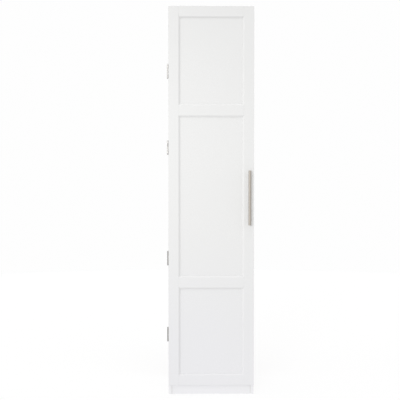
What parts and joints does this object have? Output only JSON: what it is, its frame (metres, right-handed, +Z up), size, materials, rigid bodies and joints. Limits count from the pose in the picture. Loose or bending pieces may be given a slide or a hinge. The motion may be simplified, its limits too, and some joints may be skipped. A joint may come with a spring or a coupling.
{
  "type": "broom cupboard",
  "caption": "Tall narrow broom cupboard with a framed panel door on butt hinges, a bar handle, a magnetic catch, shelves above the broom space and a recessed plinth.",
  "frame": {"origin": "on the floor, midway across the carcass and midway from the handle's face to the rear edges", "axes": "+X to the right as the cupboard is faced, +Y towards the wall behind it, +Z up"},
  "size_m": [0.4468, 0.455, 2],
  "materials": {
    "carcass_board": "white satin facing",
    "back_board": "white faced hardboard",
    "door_paint": "white satin paint",
    "white_plastic": "moulded",
    "glide_plastic": "moulded",
    "hinge_steel": "satin nickel",
    "handle_nickel": "brushed nickel",
    "screw_steel": "zinc plated",
    "plate_steel": "zinc plated",
    "magnet": "bare ferrite"
  },
  "bodies": {
    "carcass": {"left_side": "carcass_board", "right_side": "carcass_board", "top_board": "carcass_board", "bottom_board": "carcass_board", "fixed_shelf": "carcass_board", "loose_shelf": "carcass_board", "front_plinth": "carcass_board", "rear_plinth": "carcass_board", "fixing_rail": "carcass_board", "back_panel": "back_board", "shelf_supports": "white_plastic", "floor_glides": "glide_plastic", "hinge_1_side_leaf": "hinge_steel", "hinge_2_side_leaf": "hinge_steel", "hinge_3_side_leaf": "hinge_steel", "hinge_4_side_leaf": "hinge_steel", "hinge_1_pin": "hinge_steel", "hinge_2_pin": "hinge_steel", "hinge_3_pin": "hinge_steel", "hinge_4_pin": "hinge_steel", "side_leaf_screws": "screw_steel", "catch_body": "white_plastic", "catch_magnet": "magnet", "catch_lower_pole": "plate_steel", "catch_upper_pole": "plate_steel", "catch_screws": "screw_steel"},
    "door": {"hinge_stile": "door_paint", "handle_stile": "door_paint", "door_bottom_rail": "door_paint", "door_lower_rail": "door_paint", "door_upper_rail": "door_paint", "door_top_rail": "door_paint", "door_bottom_panel": "door_paint", "door_middle_panel": "door_paint", "door_top_panel": "door_paint", "hinge_1_door_leaf": "hinge_steel", "hinge_2_door_leaf": "hinge_steel", "hinge_3_door_leaf": "hinge_steel", "hinge_4_door_leaf": "hinge_steel", "door_leaf_screws": "screw_steel", "handle_bar": "handle_nickel", "handle_lower_post": "handle_nickel", "handle_upper_post": "handle_nickel", "handle_screws": "screw_steel", "strike_plate": "plate_steel", "strike_screw": "screw_steel"}
  },
  "joints": [
    {"name": "door_swing", "type": "hinge", "parent": "carcass", "child": "door", "pos_m": [-0.22355, -0.1743, 0], "axis": [0, 0, -1], "range_deg": [0, 180]}
  ]
}
